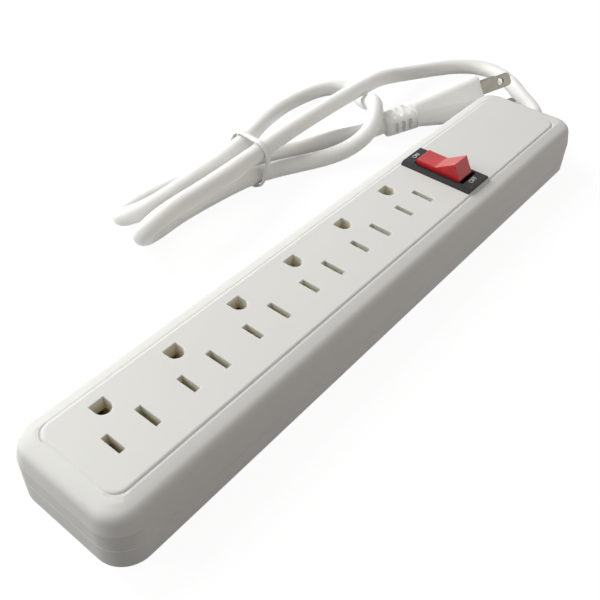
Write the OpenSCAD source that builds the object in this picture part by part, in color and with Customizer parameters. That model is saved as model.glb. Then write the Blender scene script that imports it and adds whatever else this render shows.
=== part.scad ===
// Power strip with six grounded outlets, a rocker switch and a folded cord with its plug.
// Sizes are in millimetres. X runs along the case towards the cord, Y towards the earth holes.
// Z is up from the underside, and the origin is the middle of the underside.

/* [Case] */
// Length of the case
body_l = 270.8; // [262:0.1:280]
// Width of the case
body_w = 47.8; // [46:0.1:50]
// Height of the case at the panel
body_h = 22.6; // [22:0.1:25]
// Radius of the upright corners
corner_r = 9.9; // [8.5:0.1:12]
// Thickness of the side walls
wall_t = 2; // [1.6:0.1:2.4]
// Height of the base cover, up to the parting line
base_h = 6; // [5.5:0.1:7]
// Thickness of the base floor
floor_t = 1.8; // [1.4:0.1:2.4]
// Width of the sloping shoulder between wall and panel
shoulder_w = 6.5; // [5.5:0.1:7.5]
// Radius that rolls the shoulder into the wall
shoulder_r = 4; // [4:0.5:7]
// Slope of the shoulder at the panel, in degrees
shoulder_slope = 16; // [10:1:20]
// Height of the crease that ends the shoulder
belt_z = 13; // [11:0.1:14]
// Slope of the wall above that crease, in degrees
belt_slope = 80; // [74:1:86]
// Distance from the shoulder to the middle of the groove round the panel
rim_w = 0.8; // [0.2:0.1:1]
// The same distance at the cord end
far_rim_w = 3.7; // [1:0.1:4]
// Height of the panel above the edge of the shoulder
panel_rise = 0.5; // [0.2:0.1:0.8]
// Width of that groove, which slopes down from the panel
groove_w = 1.5; // [0.8:0.1:2]
// Depth of that groove below the panel
groove_depth = 0.8; // [0.4:0.1:1]
// Thickness of the panel
panel_t = 2; // [1.6:0.1:2.4]
// Corner radius of the panel, at the middle of the groove
panel_r = 4.5; // [3:0.5:6]
// Thickness of the lip that locates the base in the top
lip_t = 1.2; // [1:0.1:1.6]
// Height of that lip above the parting line
lip_h = 1.8; // [1:0.1:2.4]
// Thickness of the inner ribs
rib_t = 1.2; // [0.8:0.1:1.6]

/* [Outlets] */
// Number of outlets
outlet_count = 6; // [4:1:6]
// Distance from one outlet to the next
outlet_pitch = 28.4; // [28:0.1:29]
// Distance of the first outlet from the near end
outlet_first = 25.1; // [24:0.1:26]
// Distance of the blade slots from the middle line, to the -Y side
blade_line = 2.7; // [2:0.1:3.2]
// Distance between the two blade slots of an outlet
blade_spacing = 12.7; // [12.5:0.1:12.9]
// Distance from the blade line to the earth hole
earth_offset = 11.9; // [11.7:0.1:12.1]
// Width of a blade slot
slot_w = 2.2; // [1.8:0.1:2.6]
// Length of the live slot
live_slot_l = 7.5; // [7:0.1:8]
// Length of the neutral slot
neutral_slot_l = 8.9; // [8.2:0.1:9.2]
// Diameter of the earth hole
earth_d = 5.4; // [5:0.1:5.8]
// Thickness of the guide walls under the openings
well_t = 1; // [0.8:0.1:1.2]

/* [Contacts] */
// Thickness of the contact strips
strip_t = 0.8; // [0.6:0.1:1]
// Height of the contact strips
strip_h = 6; // [5:0.5:7]
// Height of the strips above the base floor
strip_lift = 3.2; // [2.8:0.1:4]
// Distance of the live and neutral strips from the blade line
strip_offset = 5.5; // [5.2:0.1:5.8]
// Distance of the earth strip beyond the earth holes
earth_strip_offset = 4; // [3.5:0.1:4.5]
// Thickness of a contact leaf
leaf_t = 0.5; // [0.4:0.1:0.6]
// Height of a contact leaf
leaf_h = 12; // [11:0.5:12]
// Gap between the two leaves for a blade
blade_gap = 1.2; // [1:0.1:1.4]
// Gap between the two leaves for an earth pin
earth_gap = 4.2; // [4:0.1:4.6]
// Clear space between neighbouring live and neutral metal
creep = 1.1; // [1:0.1:1.4]

/* [Switch] */
// Distance of the switch from the last outlet
switch_gap = 26.7; // [26:0.1:30]
// Length of the bezel, across the case
bezel_l = 31.6; // [30.5:0.1:32.4]
// Width of the bezel, along the case
bezel_w = 15.8; // [15:0.1:17]
// Height of the bezel above the panel
bezel_h = 1.6; // [1.2:0.1:2]
// Width of the bevel on the long edges of the bezel
bezel_bevel = 1.5; // [0.8:0.1:1.6]
// Length of the switch body below the panel
switch_l = 28; // [27:0.1:29]
// Width of the switch body below the panel
switch_w = 12.9; // [12.6:0.1:13.4]
// Depth of the switch body below the panel
switch_d = 14; // [13.5:0.1:14.5]
// Length of the rocker opening
opening_l = 22.4; // [22:0.1:23]
// Width of the rocker
rocker_w = 9.4; // [9:0.1:9.6]
// Space on each side of the rocker
rocker_clear = 0.5; // [0.4:0.1:0.6]
// Tilt of the rocker at each end of its travel, in degrees
rocker_tilt = 15; // [12:1:15]
// Tilt of the contact lever at each end of its travel, in degrees
lever_tilt = 8; // [6:1:8]
// Radius of the rocker's side pins
pin_r = 1.2; // [1:0.1:1.4]
// Space round pins and other moving pieces
run_clear = 0.3; // [0.25:0.05:0.4]
// Width of the switch tabs
tab_w = 4.8; // [4:0.1:5.2]
// Thickness of the switch tabs
tab_t = 0.8; // [0.6:0.1:1]

/* [Fixings] */
// Distance between the two keyholes
keyhole_pitch = 160; // [150:1:170]
// Distance of the keyholes from the -Y wall
keyhole_inset = 8.6; // [8:0.1:9]
// Radius of the round end of a keyhole
keyhole_r = 4.25; // [3.8:0.05:4.4]
// Width of the narrow end of a keyhole
keyhole_slot_w = 4.5; // [4:0.1:5]
// Length of the narrow end of a keyhole
keyhole_slot_l = 9; // [8:0.5:10]
// Distance of the end screws from the end walls
screw_end_inset = 13; // [12.5:0.1:14]
// Distance of the screws from the side walls
screw_side_inset = 6.3; // [6.2:0.1:6.6]
// Radius of the screw shank
screw_r = 1.45; // [1.2:0.05:1.6]
// Radius of the screw head
screw_head_r = 2.4; // [2.2:0.1:2.6]
// Height of the screw head
screw_head_h = 2; // [1.6:0.1:2]

/* [Cord and gland] */
// Diameter of the cord
cord_d = 7.5; // [6.8:0.1:7.8]
// Height of the cord where it leaves the case
exit_z = 10; // [9.8:0.1:10.4]
// Length of the gland outside the case
gland_out_l = 7; // [5:0.5:8]
// Length of the gland inside the wall
gland_in_l = 6; // [5:0.5:7]
// Radius of the gland's flanges
gland_flange_r = 6.4; // [6.1:0.1:6.6]
// Radius of the gland's neck in the wall
gland_neck_r = 5.2; // [4.8:0.1:5.4]
// Space between the gland and its neighbours
gland_clear = 0.2; // [0.15:0.05:0.3]
// Diameter of the inner wires
wire_d = 2.2; // [1.8:0.1:2.4]
// Width of the tie band
tie_w = 3; // [2:0.5:5]
// Thickness of the tie band
tie_t = 0.6; // [0.4:0.1:0.6]

/* [Plug] */
// Length of the plug body
plug_l = 34; // [32:0.5:36]
// Length of the slotted relief behind the plug body
relief_l = 13.4; // [12:0.2:15]
// Radius of the relief at the plug body
relief_r = 5.9; // [5.4:0.1:7]
// Radius of the relief at the cord
relief_end_r = 5.8; // [4.8:0.1:6.2]
// Number of windows along each side of the relief
relief_windows = 4; // [2:1:4]
// Width of a relief window
window_w = 1.7; // [1.2:0.1:2]
// Distance from one relief window to the next
window_pitch = 3; // [2.8:0.1:3.2]
// Length of a blade beyond the plug's face
blade_l = 17.5; // [16:0.1:18.5]
// Width of a blade
blade_w = 6.35; // [6.2:0.05:6.5]
// Thickness of a blade
blade_t = 1.5; // [1.4:0.05:1.6]
// Radius of the hole in a blade
blade_hole_r = 1.6; // [1.4:0.1:2]
// Length of the earth pin beyond the plug's face
earth_pin_l = 20.5; // [19:0.1:21.5]
// Radius of the earth pin
earth_pin_r = 2.4; // [2.3:0.05:2.45]
// Depth to which the pins are held in the plug
pin_hold = 6; // [4:0.5:8]
// Space between the pins and the plug
pin_clear = 0.1; // [0.05:0.05:0.2]

/* [Hidden] */
$fn = 48;

// Length of overlap that keeps joined and cut faces clean
eps = 0.5;

// Case levels and half sizes
half_l = body_l / 2;
half_w = body_w / 2;
panel_z = body_h;
rim_z = panel_z - panel_rise;
ceiling_z = panel_z - panel_t;
// Roll between the slope at the panel and the wall above the belt: its width, height and middle
roll_w = shoulder_r * (sin(belt_slope) - sin(shoulder_slope));
roll_h = shoulder_r * (cos(shoulder_slope) - cos(belt_slope));
slope_l = ((shoulder_w - roll_w) * sin(belt_slope) - (rim_z - belt_z - roll_h) * cos(belt_slope))
    / sin(belt_slope - shoulder_slope);
roll_x = corner_r - shoulder_w + slope_l * cos(shoulder_slope) - shoulder_r * sin(shoulder_slope);
roll_z = rim_z - slope_l * sin(shoulder_slope) - shoulder_r * cos(shoulder_slope);
roll_steps = 6;
// Inset of the upper part of the cavity, under the shoulder, and the height where it starts
crown_inset = shoulder_w - 0.9;
crown_z = exit_z + gland_flange_r + gland_clear;
// Sideways space between the lip and the top
lip_clear = 0.2;
tray_inset = wall_t + lip_clear + lip_t;
panel_margin = shoulder_w + rim_w;
far_margin = shoulder_w + far_rim_w;
panel_l = body_l - panel_margin - far_margin;
panel_w = body_w - 2 * panel_margin;
panel_x = (panel_margin - far_margin) / 2;

// Outlet rows
first_x = outlet_first - half_l;
last_x = first_x + (outlet_count - 1) * outlet_pitch;
blade_y = -blade_line;
earth_y = blade_y + earth_offset;
// Flat side of an earth hole, from its middle
earth_flat = 2.9;
// Foot of the guide walls, just above the contacts
well_clear = 0.3;
well_z = floor_t + strip_lift + leaf_h + well_clear;

// Contact strips
strip_z = floor_t + strip_lift;
strip_top = strip_z + strip_h;
line_strip_y = blade_y - strip_offset;
neutral_strip_y = blade_y + strip_offset;
earth_strip_y = earth_y + earth_strip_offset;
strip_end = 12.3;
strip_start_x = first_x - blade_spacing / 2 - 1.4;
strip_end_x = last_x + strip_end;
// Height and spread of the flared mouth of a contact
flare_h = 2;
flare = 0.6;
contact_back = earth_y - earth_d / 2;
// Room between the ribs and the strips that they hold
rib_clear = 0.2;
rib_front = line_strip_y - 1.8;
rib_back = earth_strip_y + 1.6;

// Switch levels
switch_x = last_x + switch_gap;
bezel_top = panel_z + bezel_h;
switch_base_z = panel_z - switch_d;
switch_floor_t = 1.2;
switch_floor_z = switch_base_z + switch_floor_t;
opening_w = rocker_w + 2 * rocker_clear;
pivot_z = panel_z - 2.6;
panel_hole_clear = 0.15;
bezel_edge = 0.4;
clip_h = 3;
clip_out = 0.7;

// Rocker section about its pivot: valley, ridges, ends and hub
valley_z = 6.2;
ridge_y = 8.7;
ridge_z = 8.6;
end_y = 10.4;
end_z = 1.5;
skirt_y = 6;
skirt_z = -2;
hub_y = 3;
hub_z = -5.5;
dish_depth = 0.4;
dish_steps = 8;
rocker_bore_r = 1.7;
rocker_bore_top = 2.9;
pin_out = 0.9;

// Plunger, spring and lever
lever_z = switch_floor_z + 1.8;
lever_t = 0.8;
lever_half = 9;
lever_pivot_r = 0.5;
lever_w = 4.6;
button_r = 1.4;
button_h = 0.6;
plunger_r = rocker_bore_r - run_clear;
plunger_tip = pivot_z - lever_z - lever_t - 0.4;
plunger_top = -2.9;
spring_turns = 5;
spring_pitch = 1;
spring_wire_d = 0.42;
spring_r = rocker_bore_r - run_clear - spring_wire_d / 2;
spring_gap = 0.3;
load_y = -8;
tab_end_z = floor_t + 1.7;
tab_slot_clear = 0.2;
pad_t = 0.4;

// Screw places and bosses
screw_y = half_w - screw_side_inset;
screw_x = half_l - screw_end_inset;
screw_places = [
    for (x = [-screw_x, 0, screw_x])
        for (y = [-screw_y, screw_y])
            [x, y]
];
screw_clear = 0.15;
head_clear = 0.3;
head_recess = screw_head_h + 1;
screw_l = 11;
boss_r = 2.8;
base_boss_r = 3.4;

// Keyholes
keyhole_y = keyhole_inset - half_w;
shroud_l = 24;
shroud_h = 6.5;

// Gland and inner wires
gland_groove = wall_t + 2 * gland_clear;
gland_flange_t = 2.2;
gland_tail_r = gland_flange_r - 0.6;
gland_tip_r = cord_d / 2 + 1;
gland_bore_r = cord_d / 2 + 0.3;
wire_start_x = half_l - wall_t - gland_in_l - 1.2;
wire_spread = 1.9;
wire_run_z = tab_end_z + wire_d / 2;
wire_end_gap = 0.2;
// Straight run of a wire at each end, and the run in which it drops to the floor
wire_lead = 5;
wire_drop = 16;
// Distance from the switch at which the wires are in their lanes, and the lanes past it
lane_x = 14;
neutral_lane_y = neutral_strip_y + wire_d;
earth_lane_y = earth_strip_y - wire_d;

// Plug place, and its section at the face and at the relief
plug_at = [139.4, 32.4, 15];
plug_turn = [-34, -10, -28];
plug_corner_r = 3;
face_half_w = 10.5;
face_top = 7;
face_waist = -7;
face_bottom = -15;
face_bottom_half_w = 6.5;
tail_half_w = 7.5;
tail_top = 5;
tail_bottom = -6.6;
relief_z = -1;
window_h = 4.2;
window_start = 1.6;
relief_core_r = 3.6;
blade_hole_x = 12;
blade_tip_r = 2.2;

// Cord route by hand: from the gland over the tie to the front fold
fold_r = 12;
fold_2_r = 11.5;
route_out = [
    [126.4, 0, 10], [134.4, 0, 10], [140.4, 0, 10], [146, 0.5, 10], [152.5, 5, 9.5], [160, 13, 8.5],
    [168, 20.5, 7], [176, 27.5, 6], [183, 37, 5], [186, 48, 4.5], [182.5, 58, 4], [174, 65.5, 4],
    [160, 71.5, 5], [142, 75.5, 8], [124, 75, 13.5], [107, 72.5, 17], [87, 73, 17], [66, 73.5, 16.5],
    [46, 72.5, 17], [25, 70, 18], [5, 66.5, 20], [-15, 64, 21.5]
];
// From the front fold round the wide loop and back to the rear fold
route_loop = [
    [-15, 77.5, 4.5], [5, 76, 4.5], [25, 73, 5.5], [44, 65.5, 4.5], [60, 57, 4.5], [72, 52, 7.5],
    [81, 50, 13], [87.5, 53.5, 17.5], [94, 59, 17.5], [100, 65, 12], [108.5, 75, 4.5], [115.5, 84, 4],
    [117, 92, 4], [112.5, 98.5, 4], [104.5, 102, 4], [92, 103, 4.5], [76, 100.5, 7], [59, 94, 11.5],
    [42, 86, 16.5], [25, 79, 18.5], [8, 76.5, 18], [-10, 76.5, 17.5]
];
// From the rear fold to the plug's relief
route_in = [
    [-10, 94, 5.5], [8, 90, 5.5], [25, 81, 9.5], [45, 76.5, 5.5], [61, 71, 4], [75, 66.5, 4],
    [87.6, 59.3, 3.9], [92.8, 56.5, 4.9], [97.9, 53.8, 5.9]
];
front_fold = fold([-29, 70, 13], [0, -7, 9.5], fold_r);
rear_fold = fold([-26.5, 84.2, 11.8], [0, -8.4, 5.4], fold_2_r);
cord_line = spline(concat(route_out, front_fold, route_loop, rear_fold, route_in), 3);
cord_sides = 8;
wire_sides = 6;
loop_skip = 8;

// Place of the tie, and the four strands that it holds there
tie_x = 25;
tie_strands = [[79.7, 18.1], [69.8, 18.2], [72.2, 5.5], [82.1, 8.2]];
tie_room = 0.95;

// Unit vector
function unit(v) = v / norm(v);

// Half turn of the cord round a middle point, from the side e to the opposite side
function fold(c, e, r, n = 6) = [
    for (i = [0:n - 1])
        let (a = 180 * i / (n - 1))
            c + r * (unit(e) * cos(a) - [sin(a), 0, 0])
];

// Point of a smooth curve over four neighbouring route points
function blend(a, b, c, d, t) =
    (pow(1 - t, 3) * a + (3 * pow(t, 3) - 6 * t * t + 4) * b
    + (3 * t + 3 * t * t - 3 * pow(t, 3) + 1) * c + pow(t, 3) * d) / 6;

// Smooth curve that starts and ends on the first and last route points
function spline(p, n) =
    let (last = len(p) - 1)
    let (q = concat([2 * p[0] - p[1]], p, [2 * p[last] - p[last - 1]]))
    concat(
        [for (i = [1:last]) for (j = [0:n - 1]) blend(q[i - 1], q[i], q[i + 1], q[i + 2], j / n)],
        [p[last]]
    );

// Direction of a curve at one of its points
function heading(c, i) = unit(c[min(i + 1, len(c) - 1)] - c[max(i - 1, 0)]);

// Sideways direction carried along a curve without twist
function carried(n, t) = unit(n - (n * t) * t);
function sideways(c) = [
    for (
        i = 0, n = carried([0.2, 0.3, 1], heading(c, 0));
        i < len(c);
        i = i + 1, n = carried(n, heading(c, min(i, len(c) - 1)))
    ) n
];

// Least clear distance between stretches of the same tube
function least_gap(c, d) = min([
    for (i = [0:len(c) - 1 - loop_skip])
        for (j = [i + loop_skip:len(c) - 1])
            norm(c[i] - c[j]) - d
]);

// Length of a curve
function run_length(c, i = 1) = i < len(c) ? norm(c[i] - c[i - 1]) + run_length(c, i + 1) : 0;

echo("cord length", run_length(cord_line));
echo("cord least gap to itself", least_gap(cord_line, cord_d));

// Round tube swept along a curve
module tube(c, d, sides) {
    n = sideways(c);
    rings = len(c);
    points = [
        for (i = [0:rings - 1])
            let (t = heading(c, i))
            for (j = [0:sides - 1])
                let (a = 360 * j / sides)
                c[i] + d / 2 * (cos(a) * n[i] + sin(a) * cross(t, n[i]))
    ];
    skin = [
        for (i = [0:rings - 2])
            for (j = [0:sides - 1])
                let (a = i * sides + j, b = i * sides + (j + 1) % sides)
                for (f = [[a, a + sides, b + sides], [a, b + sides, b]])
                    f
    ];
    last = (rings - 1) * sides;
    caps = [
        for (j = [1:sides - 2])
            for (f = [[0, j, j + 1], [last, last + j + 1, last + j]])
                f
    ];
    polyhedron(points, concat(skin, caps), convexity = 10);
}

// Flat plate with round corners
module round_plate(l, w, r, h) {
    linear_extrude(h) {
        square([l - 2 * r, w], center = true);
        square([l, w - 2 * r], center = true);
        for (x = [-1, 1])
            for (y = [-1, 1])
                translate([x * (l / 2 - r), y * (w / 2 - r)])
                    circle(r);
    }
}

// Section of wall and shoulder, measured out from the middle of the corner
module wall_section() {
    polygon(concat(
        [[0, base_h], [corner_r, base_h], [corner_r, belt_z]],
        [
            for (i = [0:roll_steps])
                let (a = belt_slope + (shoulder_slope - belt_slope) * i / roll_steps)
                [roll_x + shoulder_r * sin(a), roll_z + shoulder_r * cos(a)]
        ],
        [[corner_r - shoulder_w, rim_z], [0, rim_z]]
    ));
}

// Sweeps a section, measured out from the middle of a corner, round the outline of a plate
module round_sweep(l, w, r) {
    for (k = [0, 1])
        rotate(180 * k) {
            translate([0, w / 2 - r, 0])
                rotate([90, 0, 90])
                    linear_extrude(l - 2 * r, center = true)
                        children();
            translate([l / 2 - r, 0, 0])
                rotate([90, 0, 0])
                    linear_extrude(w - 2 * r, center = true)
                        children();
            translate([l / 2 - r, w / 2 - r, 0])
                rotate_extrude(angle = 90)
                    children();
            translate([l / 2 - r, r - w / 2, 0])
                rotate(-90)
                    rotate_extrude(angle = 90)
                        children();
        }
}

// Outer form of the top, with a solid middle and the raised panel
module case_form() {
    round_sweep(body_l, body_w, corner_r)
        wall_section();
    translate([0, 0, (base_h + rim_z) / 2])
        cube([body_l - 2 * corner_r + 1, body_w - 2 * corner_r + 1, rim_z - base_h], center = true);
    translate([panel_x, 0, rim_z - eps])
        round_plate(panel_l, panel_w, panel_r, panel_rise + eps);
}

// Hollow of the top, narrower under the shoulder
module case_hollow() {
    translate([0, 0, base_h - eps])
        round_plate(body_l - 2 * wall_t, body_w - 2 * wall_t, corner_r - wall_t, crown_z - base_h + eps);
    translate([0, 0, crown_z - eps])
        round_plate(
            body_l - 2 * crown_inset, body_w - 2 * crown_inset, corner_r - crown_inset,
            ceiling_z - crown_z + eps
        );
}

// Copies what follows to each outlet
module at_outlets() {
    for (i = [0:outlet_count - 1])
        translate([first_x + i * outlet_pitch, 0, 0])
            children();
}

// Copies what follows midway between outlets
module between_outlets() {
    for (i = [0:outlet_count - 2])
        translate([first_x + (i + 0.5) * outlet_pitch, 0, 0])
            children();
}

// Copies what follows to each screw
module at_screws() {
    for (p = screw_places)
        translate([p[0], p[1], 0])
            children();
}

// Openings of one outlet between two heights, larger all round by a given amount
module outlet_form(grow, low, high) {
    for (slot = [[-blade_spacing / 2, live_slot_l], [blade_spacing / 2, neutral_slot_l]])
        translate([slot[0], blade_y, (low + high) / 2])
            cube([slot_w + 2 * grow, slot[1] + 2 * grow, high - low], center = true);
    translate([0, earth_y, low]) {
        cylinder(h = high - low, d = earth_d + 2 * grow);
        translate([-earth_d / 2 - grow, 0, 0])
            cube([earth_d + 2 * grow, earth_flat + grow, high - low]);
    }
}

// Groove round the panel, sloping down to a low outer wall
module panel_groove() {
    inner = panel_r - groove_w / 2;
    outer = panel_r + groove_w / 2;
    translate([panel_x, 0, 0])
        round_sweep(panel_l, panel_w, panel_r)
            polygon([
                [inner, panel_z], [outer, panel_z - groove_depth],
                [outer, rim_z + eps], [inner, panel_z + eps]
            ]);
}

// Cut for the gland's neck through the end wall
module gland_cut() {
    translate([half_l - wall_t - eps, 0, exit_z])
        rotate([0, 90, 0])
            cylinder(h = wall_t + 2 * eps, r = gland_neck_r + gland_clear);
}

module top_housing() {
    color([0.86, 0.86, 0.84])
    difference() {
        union() {
            difference() {
                case_form();
                case_hollow();
            }
            at_screws()
                translate([0, 0, base_h + rib_clear])
                    cylinder(h = ceiling_z - base_h, r = boss_r);
            between_outlets()
                translate([-rib_t / 2, rib_front, strip_top + rib_clear])
                    cube([rib_t, rib_back - rib_front, ceiling_z - strip_top]);
            at_outlets()
                outlet_form(well_t, well_z, ceiling_z + eps);
        }
        panel_groove();
        at_outlets()
            outlet_form(0, well_z - eps, panel_z + eps);
        translate([switch_x, 0, ceiling_z])
            cube([switch_w + 2 * panel_hole_clear, switch_l + 2 * panel_hole_clear, 3 * panel_t], center = true);
        at_screws()
            translate([0, 0, base_h])
                cylinder(h = screw_l, r = screw_r + screw_clear);
        gland_cut();
    }
}

// Ring that stands on the tray and locates the top
module tray_lip() {
    difference() {
        round_plate(
            body_l - 2 * (wall_t + lip_clear), body_w - 2 * (wall_t + lip_clear),
            corner_r - wall_t - lip_clear, base_h + lip_h
        );
        translate([0, 0, -eps])
            round_plate(
                body_l - 2 * tray_inset, body_w - 2 * tray_inset, corner_r - tray_inset,
                base_h + lip_h + 2 * eps
            );
    }
}

// Keyhole through the floor, wide end first
module keyhole() {
    cylinder(h = floor_t + 2 * eps, r = keyhole_r);
    translate([0, -keyhole_slot_w / 2, 0])
        cube([keyhole_slot_l, keyhole_slot_w, floor_t + 2 * eps]);
    translate([keyhole_slot_l, 0, 0])
        cylinder(h = floor_t + 2 * eps, d = keyhole_slot_w);
}

// Wall that keeps a hanging screw away from the contacts
module keyhole_shroud() {
    inner_y = keyhole_r + 1;
    difference() {
        translate([-keyhole_r - 1 - rib_t, -inner_y, 0])
            cube([shroud_l, inner_y * 2 + rib_t, floor_t + shroud_h]);
        translate([-keyhole_r - 1, -inner_y - eps, -eps])
            cube([shroud_l - 2 * rib_t, inner_y * 2 + eps, floor_t + shroud_h + 2 * eps]);
    }
}

module base_cover() {
    color([0.84, 0.84, 0.82])
    difference() {
        union() {
            difference() {
                round_plate(body_l, body_w, corner_r, base_h);
                translate([0, 0, floor_t])
                    round_plate(
                        body_l - 2 * tray_inset, body_w - 2 * tray_inset, corner_r - tray_inset,
                        base_h
                    );
            }
            tray_lip();
            between_outlets()
                translate([-rib_t / 2, rib_front, floor_t - eps])
                    cube([rib_t, rib_back - rib_front, strip_lift + eps]);
            for (x = [-1, 1])
                translate([x * keyhole_pitch / 2, keyhole_y, 0])
                    keyhole_shroud();
            at_screws()
                cylinder(h = base_h, r = base_boss_r);
        }
        for (x = [-1, 1])
            translate([x * keyhole_pitch / 2, keyhole_y, -eps])
                keyhole();
        at_screws() {
            translate([0, 0, -eps])
                cylinder(h = head_recess + eps, r = screw_head_r + head_clear);
            cylinder(h = base_h + eps, r = screw_r + screw_clear);
        }
        gland_cut();
        translate([half_l - wall_t - lip_clear - lip_t - eps, -gland_flange_r - 1, exit_z - gland_flange_r - gland_clear])
            cube([lip_t + lip_clear + eps, 2 * gland_flange_r + 2, base_h + lip_h]);
    }
}

module case_screws() {
    color([0.6, 0.6, 0.62])
    at_screws() {
        translate([0, 0, head_recess - screw_head_h])
            cylinder(h = screw_head_h, r = screw_head_r);
        translate([0, 0, head_recess])
            cylinder(h = screw_l, r = screw_r);
    }
}

// Spring contact: a channel along Y with flared lips, reaching back from y = 0
module contact(gap, l) {
    half = [
        [gap / 2 + leaf_t, 0],
        [gap / 2 + leaf_t, leaf_h - flare_h],
        [gap / 2 + leaf_t + flare, leaf_h],
        [gap / 2 + flare, leaf_h],
        [gap / 2, leaf_h - flare_h],
        [gap / 2, leaf_t]
    ];
    other = [for (i = [len(half) - 1:-1:0]) [-half[i][0], half[i][1]]];
    rotate([90, 0, 0])
        linear_extrude(l)
            polygon(concat(half, other));
}

// Strip along the outlets at height z and place y
module strip(y) {
    translate([strip_start_x, y - strip_t / 2, strip_z])
        cube([strip_end_x - strip_start_x, strip_t, strip_h]);
}

module line_bus() {
    reach = neutral_strip_y - line_strip_y - strip_t / 2 - creep;
    color([0.75, 0.6, 0.3]) {
        strip(line_strip_y);
        at_outlets()
            translate([-blade_spacing / 2, line_strip_y + reach, strip_z])
                contact(blade_gap, reach);
    }
}

module neutral_bus() {
    reach = neutral_strip_y - line_strip_y - strip_t / 2 - creep;
    color([0.75, 0.6, 0.3]) {
        strip(neutral_strip_y);
        at_outlets()
            translate([blade_spacing / 2, neutral_strip_y, strip_z])
                contact(blade_gap, reach);
    }
}

module ground_bus() {
    color([0.75, 0.6, 0.3]) {
        strip(earth_strip_y);
        at_outlets()
            translate([0, earth_strip_y, strip_z])
                contact(earth_gap, earth_strip_y - contact_back);
    }
}

// Raised frame with bevelled long edges
module bezel() {
    top_half = bezel_w / 2 - bezel_bevel;
    rotate([90, 0, 0])
        linear_extrude(bezel_l, center = true)
            polygon([
                [-bezel_w / 2, 0], [bezel_w / 2, 0], [bezel_w / 2, bezel_edge],
                [top_half, bezel_h], [-top_half, bezel_h], [-bezel_w / 2, bezel_edge]
            ]);
}

// Wedge that snaps under the panel
module clip() {
    rotate([90, 0, 90])
        linear_extrude(switch_w / 2, center = true)
            polygon([[-eps, 0], [clip_out, 0], [0, -clip_h], [-eps, -clip_h]]);
}

module switch_housing() {
    color([0.1, 0.1, 0.11])
    translate([switch_x, 0, 0])
        difference() {
            union() {
                translate([0, 0, panel_z])
                    bezel();
                translate([-switch_w / 2, -switch_l / 2, switch_base_z])
                    cube([switch_w, switch_l, switch_d + bezel_edge]);
                for (k = [0, 1])
                    rotate(180 * k)
                        translate([0, switch_l / 2, ceiling_z - run_clear])
                            clip();
            }
            translate([-opening_w / 2, -opening_l / 2, switch_floor_z])
                cube([opening_w, opening_l, switch_d + bezel_h]);
            translate([0, 0, pivot_z])
                rotate([0, 90, 0])
                    cylinder(h = opening_w + 2 * pin_out + 2 * run_clear, r = pin_r + run_clear, center = true);
            for (y = [0, load_y])
                translate([0, y, switch_base_z])
                    cube([tab_w + 2 * tab_slot_clear, tab_t + 2 * tab_slot_clear, 4 * switch_floor_t], center = true);
        }
}

// Places what follows in the rocker's own frame, pressed on its +Y half
module in_rocker() {
    translate([switch_x, 0, pivot_z])
        rotate([-rocker_tilt, 0, 0])
            children();
}

// Top line of one half of the rocker, from its ridge down to just before the valley
function dished_half() = [
    for (i = [0:dish_steps - 1])
        let (t = i / dish_steps)
        [ridge_y * (1 - t), ridge_z + (valley_z - ridge_z) * t - 4 * dish_depth * t * (1 - t)]
];

module rocker() {
    color([0.75, 0.1, 0.1])
    in_rocker()
        difference() {
            union() {
                rotate([90, 0, 90])
                    linear_extrude(rocker_w, center = true)
                        polygon(concat(
                            dished_half(),
                            [[0, valley_z]],
                            [for (i = [dish_steps - 1:-1:0]) [-dished_half()[i][0], dished_half()[i][1]]],
                            [[-end_y, end_z], [-skirt_y, skirt_z], [-hub_y, hub_z]],
                            [[hub_y, hub_z], [skirt_y, skirt_z], [end_y, end_z]]
                        ));
                rotate([0, 90, 0])
                    cylinder(h = opening_w + 2 * pin_out, r = pin_r, center = true);
            }
            translate([0, 0, hub_z - eps])
                cylinder(h = rocker_bore_top - hub_z + eps, r = rocker_bore_r);
        }
}

module rocker_plunger() {
    color([0.85, 0.85, 0.8])
    in_rocker() {
        translate([0, 0, plunger_r - plunger_tip])
            cylinder(h = plunger_top + plunger_tip - plunger_r, r = plunger_r);
        translate([0, 0, plunger_r - plunger_tip])
            sphere(plunger_r);
    }
}

module plunger_spring() {
    steps = spring_turns * 8;
    helix = [
        for (i = [0:steps])
            let (a = 45 * i)
            [spring_r * cos(a), spring_r * sin(a), plunger_top + spring_gap + spring_pitch * i / 8]
    ];
    color([0.7, 0.7, 0.72])
    in_rocker()
        tube(helix, spring_wire_d, wire_sides);
}

// See-saw arm with its button over the load tab, tipped on at that end
module contact_lever() {
    rise = lever_half * tan(lever_tilt);
    color([0.72, 0.45, 0.25])
    translate([switch_x, 0, lever_z])
        rotate([lever_tilt, 0, 0]) {
            rotate([90, 0, 90])
                linear_extrude(lever_w, center = true)
                    polygon([
                        [0, 0], [lever_half, rise], [lever_half, rise + lever_t], [0, lever_t],
                        [-lever_half, rise + lever_t], [-lever_half, rise]
                    ]);
            rotate([0, 90, 0])
                cylinder(h = lever_w, r = lever_pivot_r, center = true);
            rotate([-lever_tilt, 0, 0])
                translate([0, load_y, -button_h])
                    cylinder(h = button_h + lever_t / 2, r = button_r);
        }
}

// Tab that hangs below the switch
module tab(y, top) {
    translate([switch_x - tab_w / 2, y - tab_t / 2, tab_end_z])
        cube([tab_w, tab_t, top - tab_end_z]);
}

module line_terminal() {
    color([0.75, 0.6, 0.3])
        tab(0, lever_z - lever_pivot_r - run_clear);
}

module load_terminal() {
    pad_z = switch_floor_z + 0.05;
    color([0.75, 0.6, 0.3]) {
        tab(load_y, pad_z + pad_t);
        translate([switch_x, load_y, pad_z + pad_t / 2])
            cube([tab_w, 2 * button_r + 0.6, pad_t], center = true);
        translate([switch_x, load_y, pad_z])
            cylinder(h = lever_z - button_h - run_clear - pad_z, r = button_r);
    }
}

// Wire along a smooth curve
module wire(points) {
    tube(spline(points, 4), wire_d, wire_sides);
}

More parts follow.
